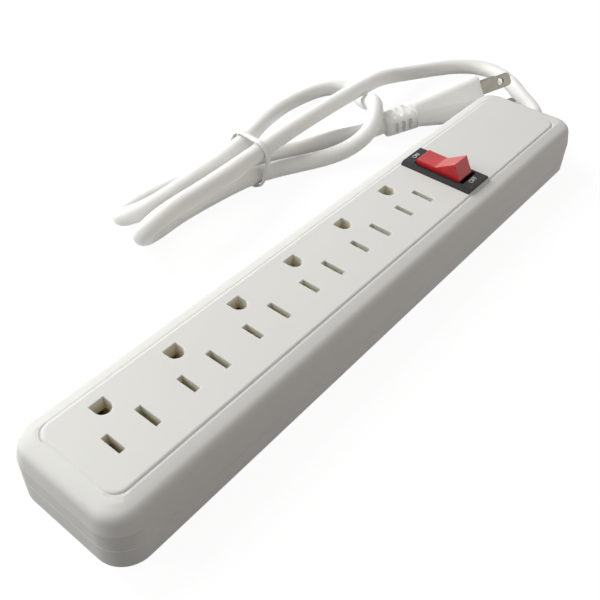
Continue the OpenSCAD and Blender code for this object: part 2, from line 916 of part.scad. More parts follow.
module line_wire() {
    color([0.1, 0.1, 0.1])
    wire([
        [wire_start_x, -wire_spread, exit_z - wire_d / 2],
        [wire_start_x - wire_lead, -wire_spread, exit_z - wire_d / 2],
        [wire_start_x - wire_drop, -wire_spread - wire_d / 2, wire_run_z + wire_d / 2],
        [switch_x + lane_x + tab_w, -wire_d / 2, wire_run_z],
        [switch_x + tab_w / 2 + wire_lead, 0, wire_run_z],
        [switch_x + tab_w / 2 + wire_end_gap, 0, wire_run_z]
    ]);
}

module load_wire() {
    color([0.1, 0.1, 0.1])
    wire([
        [switch_x - tab_w / 2 - wire_end_gap, load_y, wire_run_z],
        [switch_x - tab_w / 2 - wire_lead / 2, load_y, wire_run_z],
        [strip_end_x + wire_lead / 2, line_strip_y, strip_z + strip_h / 2],
        [strip_end_x + wire_end_gap, line_strip_y, strip_z + strip_h / 2]
    ]);
}

module neutral_wire() {
    color([0.9, 0.9, 0.88])
    wire([
        [wire_start_x, wire_spread, exit_z - wire_d / 2],
        [wire_start_x - wire_lead, wire_spread, exit_z - wire_d / 2],
        [wire_start_x - wire_drop, wire_spread + wire_d, wire_run_z + wire_d / 2],
        [switch_x + lane_x, neutral_lane_y, wire_run_z],
        [switch_x - wire_lead, neutral_lane_y, wire_run_z],
        [strip_end_x + wire_lead, neutral_strip_y, strip_z + strip_h / 2],
        [strip_end_x + wire_end_gap, neutral_strip_y, strip_z + strip_h / 2]
    ]);
}

module ground_wire() {
    color([0.15, 0.5, 0.2])
    wire([
        [wire_start_x, 0, exit_z + wire_d],
        [wire_start_x - wire_lead, 0, exit_z + wire_d],
        [wire_start_x - wire_drop - wire_d, earth_lane_y / 2, wire_run_z + 2 * wire_d],
        [switch_x + lane_x + wire_d, earth_lane_y, wire_run_z],
        [switch_x - wire_lead, earth_lane_y, wire_run_z],
        [strip_end_x + wire_lead, earth_strip_y, strip_z + strip_h / 2],
        [strip_end_x + wire_end_gap, earth_strip_y, strip_z + strip_h / 2]
    ]);
}

// Strain relief turned about the cord, with a groove that grips the end wall
module cord_gland() {
    wall_in = -wall_t - gland_clear;
    color([0.82, 0.82, 0.8])
    translate([half_l, 0, exit_z])
        rotate([0, 90, 0])
            rotate_extrude()
                polygon([
                    [gland_bore_r, -wall_t - gland_in_l], [gland_tail_r, -wall_t - gland_in_l],
                    [gland_tail_r, wall_in - gland_flange_t], [gland_flange_r, wall_in - gland_flange_t],
                    [gland_flange_r, wall_in], [gland_neck_r, wall_in],
                    [gland_neck_r, wall_in + gland_groove], [gland_flange_r, wall_in + gland_groove],
                    [gland_flange_r, wall_in + gland_groove + gland_flange_t / 2],
                    [gland_tail_r, wall_in + gland_groove + gland_flange_t],
                    [gland_tip_r, gland_out_l], [gland_bore_r, gland_out_l]
                ]);
}

module power_cord() {
    color([0.84, 0.84, 0.82])
        tube(cord_line, cord_d, cord_sides);
}

// Outline drawn tight round the four strands
module strand_outline(room) {
    hull()
        for (s = tie_strands)
            translate(s)
                circle(cord_d / 2 + room);
}

module cord_tie() {
    color([0.9, 0.9, 0.88])
    translate([tie_x, 0, 0])
        rotate([90, 0, 90])
            linear_extrude(tie_w, center = true)
                difference() {
                    strand_outline(tie_room + tie_t);
                    strand_outline(tie_room);
                }
}

// Places what follows in the plug's own frame: X out of its face, Z away from the earth pin
module in_plug() {
    translate(plug_at)
        rotate(plug_turn)
            children();
}

// Thin slice of the plug's body with round corners at the given half widths and heights
module plug_slice(top_half, bottom_half, top, waist, bottom) {
    r = plug_corner_r;
    rotate([90, 0, 90])
        linear_extrude(eps)
            hull()
                for (y = [-1, 1]) {
                    translate([y * (top_half - r), top - r])
                        circle(r);
                    translate([y * (top_half - r), waist + r])
                        circle(r);
                    translate([y * (bottom_half - r), bottom + r])
                        circle(r);
                }
}

// Pair of windows on opposite sides of the relief, a number of steps along it
module relief_window(step, turn) {
    for (side = [-1, 1])
        translate([-plug_l - window_start - step * window_pitch, 0, relief_z])
            rotate([turn, 0, 0])
                translate([0, side * (relief_core_r + relief_r / 2), 0])
                    cube([window_w, relief_r, window_h], center = true);
}

module plug_body() {
    color([0.86, 0.86, 0.84])
    in_plug()
        difference() {
            union() {
                hull() {
                    translate([-eps, 0, 0])
                        plug_slice(face_half_w, face_bottom_half_w, face_top, face_waist, face_bottom);
                    translate([-plug_l, 0, 0])
                        plug_slice(tail_half_w, tail_half_w - 1, tail_top, relief_z - 2, tail_bottom);
                }
                translate([-plug_l - relief_l, 0, relief_z])
                    rotate([0, 90, 0])
                        cylinder(h = relief_l + eps, r1 = relief_end_r, r2 = relief_r);
            }
            for (i = [0:relief_windows - 1])
                relief_window(i, 0);
            for (i = [0:relief_windows - 2])
                relief_window(i + 0.5, 90);
            for (y = [-1, 1])
                translate([-pin_hold - pin_clear, y * blade_spacing / 2, 0])
                    translate([0, -blade_t / 2 - pin_clear, -blade_w / 2 - pin_clear])
                        cube([2 * pin_hold, blade_t + 2 * pin_clear, blade_w + 2 * pin_clear]);
            translate([-pin_hold - pin_clear, 0, -earth_offset])
                rotate([0, 90, 0])
                    cylinder(h = 2 * pin_hold, r = earth_pin_r + pin_clear);
        }
}

// Flat blade with a round-cornered tip and a hole, at one side of the plug's middle
module blade(side) {
    in_plug()
        translate([0, side * blade_spacing / 2, 0])
            rotate([90, 0, 0])
                linear_extrude(blade_t, center = true)
                    difference() {
                        union() {
                            translate([-pin_hold, -blade_w / 2])
                                square([pin_hold + blade_l - blade_tip_r, blade_w]);
                            translate([-pin_hold, blade_tip_r - blade_w / 2])
                                square([pin_hold + blade_l, blade_w - 2 * blade_tip_r]);
                            for (z = [-1, 1])
                                translate([blade_l - blade_tip_r, z * (blade_w / 2 - blade_tip_r)])
                                    circle(blade_tip_r);
                        }
                        translate([blade_hole_x, 0])
                            circle(blade_hole_r);
                    }
}

module plug_line_blade() {
    color([0.6, 0.58, 0.52])
        blade(-1);
}

module plug_neutral_blade() {
    color([0.6, 0.58, 0.52])
        blade(1);
}

module plug_ground_pin() {
    color([0.6, 0.58, 0.52])
    in_plug()
        translate([0, 0, -earth_offset])
            rotate([0, 90, 0]) {
                translate([0, 0, -pin_hold])
                    cylinder(h = pin_hold + earth_pin_l - earth_pin_r, r = earth_pin_r);
                translate([0, 0, earth_pin_l - earth_pin_r])
                    sphere(earth_pin_r);
            }
}

top_housing();
base_cover();
case_screws();
line_bus();
neutral_bus();
ground_bus();
switch_housing();
rocker();
rocker_plunger();
plunger_spring();
contact_lever();
line_terminal();
load_terminal();
line_wire();
load_wire();
neutral_wire();
ground_wire();
cord_gland();
power_cord();
cord_tie();
plug_body();
plug_line_blade();
plug_neutral_blade();
plug_ground_pin();
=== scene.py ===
import bpy
import bmesh
import math
from mathutils import Euler, Matrix, Vector


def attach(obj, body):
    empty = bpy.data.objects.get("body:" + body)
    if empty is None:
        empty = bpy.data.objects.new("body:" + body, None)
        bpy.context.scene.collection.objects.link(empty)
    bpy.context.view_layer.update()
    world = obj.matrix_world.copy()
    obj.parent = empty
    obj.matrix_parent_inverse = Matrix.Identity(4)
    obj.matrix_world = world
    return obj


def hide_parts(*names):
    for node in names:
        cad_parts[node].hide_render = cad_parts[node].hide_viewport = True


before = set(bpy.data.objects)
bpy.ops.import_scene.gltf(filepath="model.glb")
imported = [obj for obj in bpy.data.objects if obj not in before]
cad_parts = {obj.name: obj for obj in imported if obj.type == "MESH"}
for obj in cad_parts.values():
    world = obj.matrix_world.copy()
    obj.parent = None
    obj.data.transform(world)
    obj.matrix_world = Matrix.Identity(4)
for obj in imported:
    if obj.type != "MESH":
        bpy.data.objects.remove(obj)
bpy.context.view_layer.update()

MM = 0.001
# Edges sharper than this are rounded, and faces closer than that in angle are joined
ROUND_FROM = math.radians(20)
FLAT_WITHIN = math.radians(0.6)
SAME_POINT = 2e-6
scene = bpy.context.scene
scene.view_settings.view_transform = "Standard"


# Helpers

def mm(*v):
    """Point in metres from millimetres."""
    return Vector(v) * MM


def place(obj, body, material, slot, *nodes):
    """Links a new piece, gives it its finish, lets it ride and hides the nodes it stands for."""
    scene.collection.objects.link(obj)
    obj.data.materials.append(material)
    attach(obj, body)
    if nodes:
        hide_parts(*nodes)
    return obj


def from_bmesh(name, bm, smooth_deg=35):
    """Object from a bmesh, smooth except at edges sharper than the given angle."""
    bmesh.ops.recalc_face_normals(bm, faces=bm.faces)
    me = bpy.data.meshes.new(name)
    for f in bm.faces:
        f.smooth = True
    bm.to_mesh(me)
    bm.free()
    me.set_sharp_from_angle(angle=math.radians(smooth_deg))
    return bpy.data.objects.new(name, me)


def level(verts, low, high):
    """True where all the points lie between two heights in millimetres."""
    return all(low * MM < v.co.z < high * MM for v in verts)


def polished(name, node, width, shape=None, crisp=(), crease=(), flow=(),
             hollows=True, smooth_deg=35):
    """Copy of a CAD node with its flat faces joined and its edges rounded, as a moulded piece has them.

    The function shape may move its points first. Edges within the heights in crisp aren't rounded,
    and without hollows neither are inner edges. Edges within the heights in crease stay sharp, and
    between the heights in flow the shading runs on from face to face."""
    bm = bmesh.new()
    bm.from_mesh(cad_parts[node].data)
    bm.transform(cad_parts[node].matrix_world)
    bmesh.ops.remove_doubles(bm, verts=bm.verts, dist=SAME_POINT)
    bmesh.ops.dissolve_limit(
        bm, angle_limit=FLAT_WITHIN, use_dissolve_boundaries=False,
        verts=bm.verts, edges=bm.edges)
    if shape:
        shape(bm)
        bm.normal_update()
    rounded = [e for e in bm.edges if len(e.link_faces) == 2
               and e.calc_face_angle(0) > ROUND_FROM
               and (hollows or e.is_convex)
               and not (crisp and level(e.verts, *crisp))]
    bmesh.ops.bevel(
        bm, geom=rounded, offset=width * MM, offset_type="OFFSET", segments=3,
        profile=0.5, affect="EDGES", clamp_overlap=False)
    obj = from_bmesh(name, bm, smooth_deg)
    if crease:
        points = obj.data.vertices
        for e in obj.data.edges:
            if level([points[i] for i in e.vertices], *crease):
                e.use_edge_sharp = True
    even_out = obj.modifiers.new("even_normals", "WEIGHTED_NORMAL")
    even_out.keep_sharp = True
    if flow:
        flat = obj.vertex_groups.new(name="flat")
        flat.add([v.index for v in obj.data.vertices if not level([v], *flow)], 1, "REPLACE")
        even_out.vertex_group = "flat"
    return obj


# Camera at the photograph's place

cam_data = bpy.data.cameras.new("camera")
cam = bpy.data.objects.new("camera", cam_data)
scene.collection.objects.link(cam)
CAM_AT = mm(-187.8, -119.6, 195.7)
CAM_RIGHT = Vector((0.63268, -0.77385, 0.02948))
CAM_DOWN = Vector((-0.51096, -0.44574, -0.73501))
CAM_AHEAD = Vector((0.58193, 0.44997, -0.67742))
cam_turn = Matrix((CAM_RIGHT, -CAM_DOWN, -CAM_AHEAD)).transposed()
cam.matrix_world = Matrix.Translation(CAM_AT) @ cam_turn.to_4x4()
cam_data.sensor_width = 36
cam_data.lens = 46.836
cam_data.clip_start = 0.01
scene.camera = cam


# Materials

def material(name, colour, rough, metallic=0.0):
    """Principled material with its node tree, links and object coordinates."""
    mat = bpy.data.materials.new(name)
    mat.use_nodes = True
    nt = mat.node_tree
    bsdf = nt.nodes["Principled BSDF"]
    bsdf.inputs["Base Color"].default_value = (*colour, 1)
    bsdf.inputs["Roughness"].default_value = rough
    bsdf.inputs["Metallic"].default_value = metallic
    coords = nt.nodes.new("ShaderNodeTexCoord")
    return mat, nt, bsdf, coords.outputs["Object"]


def noise(nt, coords, scale, detail=2.0, stretch=None):
    """Noise value over object space, stretched along axes where asked."""
    if stretch:
        m = nt.nodes.new("ShaderNodeMapping")
        m.inputs["Scale"].default_value = stretch
        nt.links.new(coords, m.inputs["Vector"])
        coords = m.outputs["Vector"]
    n = nt.nodes.new("ShaderNodeTexNoise")
    n.inputs["Scale"].default_value = scale
    n.inputs["Detail"].default_value = detail
    nt.links.new(coords, n.inputs["Vector"])
    return n.outputs["Fac"]


def spread(nt, value, low, high, from_low=0.3, from_high=0.7):
    """Maps a noise value to a range."""
    m = nt.nodes.new("ShaderNodeMapRange")
    m.inputs["From Min"].default_value = from_low
    m.inputs["From Max"].default_value = from_high
    m.inputs["To Min"].default_value = low
    m.inputs["To Max"].default_value = high
    nt.links.new(value, m.inputs["Value"])
    return m.outputs["Result"]


def tint(nt, value, low, high):
    """Colour between two tones by a value."""
    r = nt.nodes.new("ShaderNodeValToRGB")
    r.color_ramp.elements[0].position = 0.3
    r.color_ramp.elements[1].position = 0.7
    r.color_ramp.elements[0].color = (*low, 1)
    r.color_ramp.elements[1].color = (*high, 1)
    nt.links.new(value, r.inputs["Fac"])
    return r.outputs["Color"]


def bump(nt, bsdf, value, strength, depth):
    """Adds a bump of the given depth in metres."""
    b = nt.nodes.new("ShaderNodeBump")
    b.inputs["Strength"].default_value = strength
    b.inputs["Distance"].default_value = depth
    nt.links.new(value, b.inputs["Height"])
    previous = bsdf.inputs["Normal"].links
    if previous:
        nt.links.new(previous[0].from_socket, b.inputs["Normal"])
    nt.links.new(b.outputs["Normal"], bsdf.inputs["Normal"])


def moulded(name, low, high, rough, grain=900, grain_depth=0.00003, wave_depth=0.0001,
            specular=0.4, clear=0.0, reach=1.0):
    """Moulded plastic: faint flow tones, fine eroded grain and a slow sink of the surface.

    The share clear of the light goes in and comes out again within the reach, in millimetres."""
    mat, nt, bsdf, co = material(name, low, rough)
    bsdf.inputs["Specular IOR Level"].default_value = specular
    bsdf.inputs["Subsurface Weight"].default_value = clear
    bsdf.inputs["Subsurface Radius"].default_value = (1, 0.95, 0.85)
    bsdf.inputs["Subsurface Scale"].default_value = reach * MM
    flow = noise(nt, co, 26, 3, (0.5, 1, 1))
    nt.links.new(tint(nt, flow, low, high), bsdf.inputs["Base Color"])
    fine = noise(nt, co, grain, 2)
    nt.links.new(spread(nt, fine, rough - 0.05, rough + 0.06), bsdf.inputs["Roughness"])
    bump(nt, bsdf, noise(nt, co, 55, 1), 0.25, wave_depth)
    bump(nt, bsdf, fine, 0.3, grain_depth)
    return mat


# Heights in metres between which the openings get their painted glow, its warm tone, and where it lies
WARM_FROM, WARM_TO, PAINTED_GLOW_TONE = 0.0223, 0.0205, (0.74, 0.69, 0.53, 1)
WARM_SPAN = (("X", -0.033, 0.085), ("Y", 0, 0.0154))


def painted_glow_depth(mat):
    """Painted glow inside the outlet openings: a warmer, yellower tone painted in for the light that
    has passed through the plastic.
    """
    nt = mat.node_tree
    bsdf = nt.nodes["Principled BSDF"]
    coords = nt.nodes.new("ShaderNodeTexCoord")
    split = nt.nodes.new("ShaderNodeSeparateXYZ")
    nt.links.new(coords.outputs["Object"], split.inputs[0])
    amount = spread(nt, split.outputs["Z"], 0, 1, WARM_FROM, WARM_TO)
    for axis, middle, reach in WARM_SPAN:
        off = nt.nodes.new("ShaderNodeMath")
        off.operation = "COMPARE"
        off.inputs[1].default_value = middle
        off.inputs[2].default_value = reach
        nt.links.new(split.outputs[axis], off.inputs[0])
        both_ways = nt.nodes.new("ShaderNodeMath")
        both_ways.operation = "MULTIPLY"
        nt.links.new(amount, both_ways.inputs[0])
        nt.links.new(off.outputs[0], both_ways.inputs[1])
        amount = both_ways.outputs[0]
    mix = nt.nodes.new("ShaderNodeMix")
    mix.data_type = "RGBA"
    nt.links.new(amount, mix.inputs["Factor"])
    nt.links.new(bsdf.inputs["Base Color"].links[0].from_socket, mix.inputs[6])
    mix.inputs[7].default_value = PAINTED_GLOW_TONE
    nt.links.new(mix.outputs[2], bsdf.inputs["Base Color"])


def metal(name, low, high, rough, bare=1.0, scratch=(1, 1, 14)):
    """Rolled sheet metal with fine lines and a duller, tarnished tone in patches."""
    mat, nt, bsdf, co = material(name, low, rough, bare)
    nt.links.new(tint(nt, noise(nt, co, 220, 4), low, high), bsdf.inputs["Base Color"])
    lines = noise(nt, co, 700, 2, scratch)
    nt.links.new(spread(nt, lines, rough - 0.08, rough + 0.12), bsdf.inputs["Roughness"])
    bump(nt, bsdf, lines, 0.2, 0.00003)
    return mat


CASE = moulded("case_white", (0.71, 0.71, 0.69), (0.73, 0.73, 0.71), 0.46, specular=0.2)
# Painted glow: the openings' warmer tone stands in for light through the plastic
painted_glow_depth(CASE)
CORD = moulded(
    "cord_pvc", (0.84, 0.84, 0.825), (0.87, 0.87, 0.855), 0.36, grain=1400, grain_depth=0.00002,
    wave_depth=0.00015, specular=0.25, clear=0.5, reach=3)
PLUG = moulded(
    "plug_pvc", (0.91, 0.91, 0.895), (0.93, 0.93, 0.915), 0.42, grain=1100,
    specular=0.25, clear=0.5, reach=3)
TIE = moulded("tie_pvc", (0.80, 0.80, 0.785), (0.84, 0.84, 0.825), 0.4, 1600)
INNER = moulded("inner_plastic", (0.62, 0.62, 0.58), (0.68, 0.68, 0.64), 0.5)
BLACK = moulded("switch_black", (0.012, 0.012, 0.0135), (0.018, 0.018, 0.02), 0.34, 1500, specular=0.2)
PAINT = moulded("letter_paint", (0.72, 0.72, 0.72), (0.82, 0.82, 0.82), 0.5, 2500)
WIRE_BLACK = moulded("wire_black", (0.02, 0.02, 0.02), (0.035, 0.035, 0.035), 0.4)
WIRE_WHITE = moulded("wire_white", (0.72, 0.72, 0.70), (0.8, 0.8, 0.78), 0.4)
WIRE_GREEN = moulded("wire_green", (0.03, 0.22, 0.06), (0.05, 0.28, 0.08), 0.4)
BRASS = metal("contact_brass", (0.55, 0.40, 0.18), (0.68, 0.52, 0.26), 0.42, 0.4)
PIN = metal("pin_metal", (0.15, 0.145, 0.125), (0.21, 0.2, 0.175), 0.4)
STEEL = metal("steel", (0.45, 0.45, 0.46), (0.56, 0.56, 0.57), 0.32)


def rocker_red():
    """Red rocker plastic: a little light goes in, and fine crossed lines cover the top."""
    mat, nt, bsdf, co = material("rocker_red", (0.52, 0.012, 0.014), 0.3)
    bsdf.inputs["Specular IOR Level"].default_value = 0.5
    bsdf.inputs["Subsurface Weight"].default_value = 0.12
    bsdf.inputs["Subsurface Radius"].default_value = (0.004, 0.0006, 0.0004)
    bsdf.inputs["Subsurface Scale"].default_value = 0.5
    nt.links.new(
        tint(nt, noise(nt, co, 180, 3), (0.47, 0.010, 0.012), (0.58, 0.016, 0.018)),
        bsdf.inputs["Base Color"])
    lines = None
    for axis in ("X", "Y"):
        w = nt.nodes.new("ShaderNodeTexWave")
        w.wave_type = "BANDS"
        w.bands_direction = axis
        w.inputs["Scale"].default_value = 420
        nt.links.new(co, w.inputs["Vector"])
        if lines:
            add = nt.nodes.new("ShaderNodeMath")
            add.operation = "ADD"
            nt.links.new(lines, add.inputs[0])
            nt.links.new(w.outputs["Fac"], add.inputs[1])
            lines = add.outputs["Value"]
        else:
            lines = w.outputs["Fac"]
    bump(nt, bsdf, lines, 0.25, 0.00005)
    return mat


RED = rocker_red()


# Cord, on the route of the CAD model, with a rounder end to its loop

def fold(c, e, r, n=6):
    """Half turn round c, from the side e to the opposite side."""
    c, e = Vector(c), Vector(e).normalized()
    return [c + r * (e * math.cos(a) - Vector((math.sin(a), 0, 0)))
            for a in (math.pi * i / (n - 1) for i in range(n))]


def spline(points, steps):
    """Smooth curve over the route points, from the first to the last."""
    p = [Vector(v) for v in points]
    q = [2 * p[0] - p[1]] + p + [2 * p[-1] - p[-2]]
    line = []
    for i in range(1, len(p)):
        a, b, c, d = q[i - 1:i + 3]
        for k in range(steps):
            t = k / steps
            line.append(((1 - t) ** 3 * a + (3 * t ** 3 - 6 * t * t + 4) * b
                         + (3 * t + 3 * t * t - 3 * t ** 3 + 1) * c + t ** 3 * d) / 6)
    return line + [p[-1]]


CORD_D = 7.5
route_out = [
    (126.4, 0, 10), (134.4, 0, 10), (140.4, 0, 10), (146, 0.5, 10), (152.5, 5, 9.5), (160, 13, 8.5),
    (168, 20.5, 7), (176, 27.5, 6), (183, 37, 5), (186, 48, 4.5), (182.5, 58, 4), (174, 65.5, 4),
    (160, 71.5, 5), (142, 75.5, 8), (124, 75, 13.5), (107, 72.5, 17), (87, 73, 17), (66, 73.5, 16.5),
    (46, 72.5, 17), (25, 70, 18), (5, 66.5, 20), (-15, 64, 21.5)]
route_loop = [
    (-15, 77.5, 4.5), (5, 76, 4.5), (25, 73, 5.5), (44, 65.5, 4.5), (60, 57, 4.5), (72, 52, 7.5),
    (81, 50, 13), (87.5, 53.5, 17.5), (95, 60, 17.5), (103, 68, 10), (112, 77.5, 4.4), (117.5, 86, 4.5),
    (117.5, 92.5, 4), (112.5, 98.5, 4), (104.5, 102, 4), (92, 103, 4.5), (76, 100.5, 7), (59, 94, 11.5),
    (42, 86, 16.5), (25, 79, 18.5), (8, 76.5, 18), (-10, 76.5, 17.5)]
route_in = [
    (-10, 94, 5.5), (8, 90, 5.5), (25, 81, 9.5), (45, 76.5, 5.5), (61, 71, 4), (75, 66.5, 4),
    (87.6, 59.3, 3.9), (92.8, 56.5, 4.9), (97.9, 53.8, 5.9)]
cord_line = spline(
    route_out + fold((-29, 70, 13), (0, -7, 9.5), 12) + route_loop
    + fold((-26.5, 84.2, 11.8), (0, -8.4, 5.4), 11.5) + route_in, 6)

curve = bpy.data.curves.new("cord", "CURVE")
curve.dimensions = "3D"
curve.bevel_depth = CORD_D / 2 * MM
curve.bevel_resolution = 6
curve.use_fill_caps = True
strand = curve.splines.new("POLY")
strand.points.add(len(cord_line) - 1)
for point, v in zip(strand.points, cord_line):
    point.co = (*(v * MM), 1)
strand.use_smooth = True
cord = place(bpy.data.objects.new("cord", curve), "case", CORD, "cord", "power_cord")


# Twist tie: a ribbon with a wire in its middle, drawn round the four strands

TIE_X = 25
# Gap from the cord's skin, points round the tie, and how far it sways along the cord
TIE_GAP, TIE_POINTS, TIE_SWAY, TIE_WAVES = 1.25, 120, 0.5, 3
# Section of the ribbon: along the strands and out from them
TIE_SECTION = [
    (-1.5, -0.18), (-1.5, 0.05), (-0.75, 0.12), (-0.4, 0.42), (0, 0.55),
    (0.4, 0.42), (0.75, 0.12), (1.5, 0.05), (1.5, -0.18), (0, -0.25)]
# Places of the four strands in the tie's plane
STRANDS = [(79.7, 18.1), (69.8, 18.2), (72.2, 5.5), (82.1, 8.2)]


def hull_loop(r, step_deg=6):
    """Closed outline round the four strands at a given distance from their middles, in order."""
    pts = []
    for y, z in STRANDS:
        for k in range(0, 360, step_deg):
            a = math.radians(k)
            pts.append((y + r * math.cos(a), z + r * math.sin(a)))
    pts = sorted(set(pts))

    def half(points):
        out = []
        for p in points:
            while len(out) > 1 and (out[-1][0] - out[-2][0]) * (p[1] - out[-2][1]) \
                    - (out[-1][1] - out[-2][1]) * (p[0] - out[-2][0]) <= 0:
                out.pop()
            out.append(p)
        return out[:-1]

    return half(pts) + half(reversed(pts))


def even(loop, n):
    """Closed outline with n points at even spacing."""
    ring = loop + loop[:1]
    lengths = [math.dist(a, b) for a, b in zip(ring, ring[1:])]
    total = sum(lengths)
    out = []
    i, run = 0, 0.0
    for k in range(n):
        goal = total * k / n
        while run + lengths[i] < goal:
            run += lengths[i]
            i += 1
        t = (goal - run) / lengths[i]
        out.append((ring[i][0] + (ring[i + 1][0] - ring[i][0]) * t,
                    ring[i][1] + (ring[i + 1][1] - ring[i][1]) * t))
    return out


def twist_tie():
    """Ribbon section swept round the strands: thin edges, a bead over the wire."""
    loop = even(hull_loop(CORD_D / 2 + TIE_GAP), TIE_POINTS)
    n = len(loop)
    bm = bmesh.new()
    rings = []
    for i, (y, z) in enumerate(loop):
        a, b = loop[i - 1], loop[(i + 1) % n]
        t = Vector((b[0] - a[0], b[1] - a[1])).normalized()
        out = Vector((t.y, -t.x))
        x = TIE_X + TIE_SWAY * math.sin(i / n * 2 * TIE_WAVES * math.pi)
        rings.append([bm.verts.new(mm(x + s, y + out.x * o, z + out.y * o)) for s, o in TIE_SECTION])
    for i in range(n):
        p, q = rings[i], rings[(i + 1) % n]
        for j in range(len(TIE_SECTION)):
            k = (j + 1) % len(TIE_SECTION)
            bm.faces.new((p[j], q[j], q[k], p[k]))
    return from_bmesh("twist_tie", bm, 60)


tie = place(twist_tie(), "case", TIE, "tie", "cord_tie")


# Plug, its pins and the gland

PLUG_L = 34
PLUG_TURN = Euler([math.radians(a) for a in (-34, -10, -28)]).to_matrix()
PLUG_FRAME = Matrix.Translation(mm(139.4, 32.4, 15)) @ PLUG_TURN.to_4x4()
# The relief starts a little inside the plug's body
RELIEF_L, RELIEF_R, RELIEF_END_R, RELIEF_ROUND, RELIEF_Z, RELIEF_IN = 14.6, 6.4, 5.8, 0.9, -1, 0.5
# Middles of the windows along the relief, their width, soft edge and the radius of their floor
WINDOW_AT, WINDOW_W, WINDOW_EDGE, WINDOW_FLOOR_R = (3.6, 7, 10.4), 1.8, 0.35, 3.9
# Bars between the windows, in degrees: from one to the next, turn of the first, half width and edge
BAR_STEP, BAR_TURN, BAR_HALF, BAR_EDGE = 90, 177, 12, 5
CUT_BEHIND = 0.02


def without_relief(bm):
    """Cuts the strain relief off the plug's body and closes the body."""
    to_plug = PLUG_FRAME.inverted()
    behind = [v for v in bm.verts if (to_plug @ v.co).x < -(PLUG_L + CUT_BEHIND) * MM]
    bmesh.ops.delete(bm, geom=behind, context="VERTS")
    bmesh.ops.holes_fill(bm, edges=[e for e in bm.edges if e.is_boundary], sides=0)


def ease(t):
    """Soft step from 0 to 1."""
    t = min(max(t, 0), 1)
    return t * t * (3 - 2 * t)


def relief_radius(s, angle):
    """Radius of the relief at a distance from the plug's body and an angle from the first bar."""
    outer = RELIEF_R + (RELIEF_END_R - RELIEF_R) * s / RELIEF_L
    past = s - (RELIEF_L - RELIEF_ROUND)
    if past > 0:
        outer -= RELIEF_ROUND - math.sqrt(max(RELIEF_ROUND ** 2 - past ** 2, 0))
    along = max(ease(0.5 + (WINDOW_W / 2 - abs(s - c)) / WINDOW_EDGE) for c in WINDOW_AT)
    off_bar = abs((angle + BAR_STEP / 2) % BAR_STEP - BAR_STEP / 2)
    return outer - (outer - WINDOW_FLOOR_R) * along * ease((off_bar - BAR_HALF) / BAR_EDGE)


def strain_relief(step=0.12, sides=120):
    """Sleeve with three rows of windows, joined by four bars, as the photograph shows them."""
    bm = bmesh.new()
    rings = []
    count = round((RELIEF_L + RELIEF_IN) / step)
    for i in range(count + 1):
        s = -RELIEF_IN + (RELIEF_L + RELIEF_IN) * i / count
        ring = []
        for k in range(sides):
            angle = 360 * k / sides
            r, a = relief_radius(s, angle), math.radians(BAR_TURN + angle)
            at = mm(-PLUG_L - s, r * math.cos(a), RELIEF_Z + r * math.sin(a))
            ring.append(bm.verts.new(PLUG_FRAME @ at))
        rings.append(ring)
    for p, q in zip(rings, rings[1:]):
        for k in range(sides):
            j = (k + 1) % sides
            bm.faces.new((p[k], p[j], q[j], q[k]))
    bm.faces.new(rings[0])
    bm.faces.new(rings[-1])
    return from_bmesh("relief", bm, 60)


plug = place(polished("plug", "plug_body", 0.45, without_relief), "case", PLUG, "plug", "plug_body")
relief = place(strain_relief(), "case", PLUG, "plug")
pins = [
    place(polished(name, node, 0.18), "case", PIN, "pin_metal", node)
    for name, node in (
        ("blade_line", "plug_line_blade"), ("blade_neutral", "plug_neutral_blade"),
        ("earth_pin", "plug_ground_pin"))]
gland = place(polished("gland", "cord_gland", 0.3), "case", PLUG, "plug", "cord_gland")


# Case, switch and what is inside

CASE_HALF_L, CASE_HALF_W, CASE_R = 135.4, 23.9, 9.9
# The raised panel: its middle, half length, half width and corner radius
PANEL_X, PANEL_HALF_L, PANEL_HALF_W, PANEL_R = -1.45, 126.65, 16.6, 4.5
PANEL_Z, GROOVE_FLOOR_Z, FINE_FLOOR_Z = 22.6, 21.8, 22.08
# Heights that stay crisp, that stay creased and between which the shading flows
GROOVE_Z = (21.6, 22.3)
BELT_Z = (12.9, 14.8)
ROLL_Z = (14.8, 22)
# The panel's edge lies within these distances of its outline, and is drawn out by the shift
EDGE_IN, EDGE_SHIFT = (0.6, 0.9), 0.1
# How far in the wall's skin reaches, and how far the base stands out where it meets the top
SKIN, SAME_Z = 0.95, 0.02
LIP_FROM_Z, LIP_IN, PARTING_LIP = 5.9, 0.05, 0.03
# Heights of the wall's lines in the CAD model, and at the near end
NEAR_HEIGHTS = ((0, 0), (6, 8), (13, 14.7), (18.16, 18.16))


def outward(x, y, half_l, half_w, r):
    """Distance inside a plate's rounded outline, and the way out to it."""
    q = Vector((abs(x) - half_l + r, abs(y) - half_w + r))
    if min(q) < 0:
        q = Vector((q.x, 0)) if q.x > q.y else Vector((0, q.y))
    way = q.normalized()
    return r - q.length, Vector((math.copysign(way.x, x), math.copysign(way.y, y), 0))


def raise_near_lines(bm):
    """Lifts the belt and the parting line of the wall to where the near end shows them."""
    for v in bm.verts:
        x, y, z = v.co / MM
        if x > 0 or outward(x, y, CASE_HALF_L, CASE_HALF_W, CASE_R)[0] > SKIN:
            continue
        for (a, to_a), (b, to_b) in zip(NEAR_HEIGHTS, NEAR_HEIGHTS[1:]):
            if a <= z <= b:
                v.co.z = (to_a + (to_b - to_a) * (z - a) / (b - a)) * MM
                break


def shape_top(bm):
    """Near lines, and the panel's groove as a fine line: floor lifted, panel's edge drawn out to it."""
    raise_near_lines(bm)
    for v in bm.verts:
        x, y, z = v.co / MM
        if abs(z - GROOVE_FLOOR_Z) < SAME_Z:
            v.co.z = FINE_FLOOR_Z * MM
        if abs(z - PANEL_Z) < SAME_Z:
            inside, way = outward(x - PANEL_X, y, PANEL_HALF_L, PANEL_HALF_W, PANEL_R)
            if EDGE_IN[0] < inside < EDGE_IN[1]:
                v.co += way * EDGE_SHIFT * MM


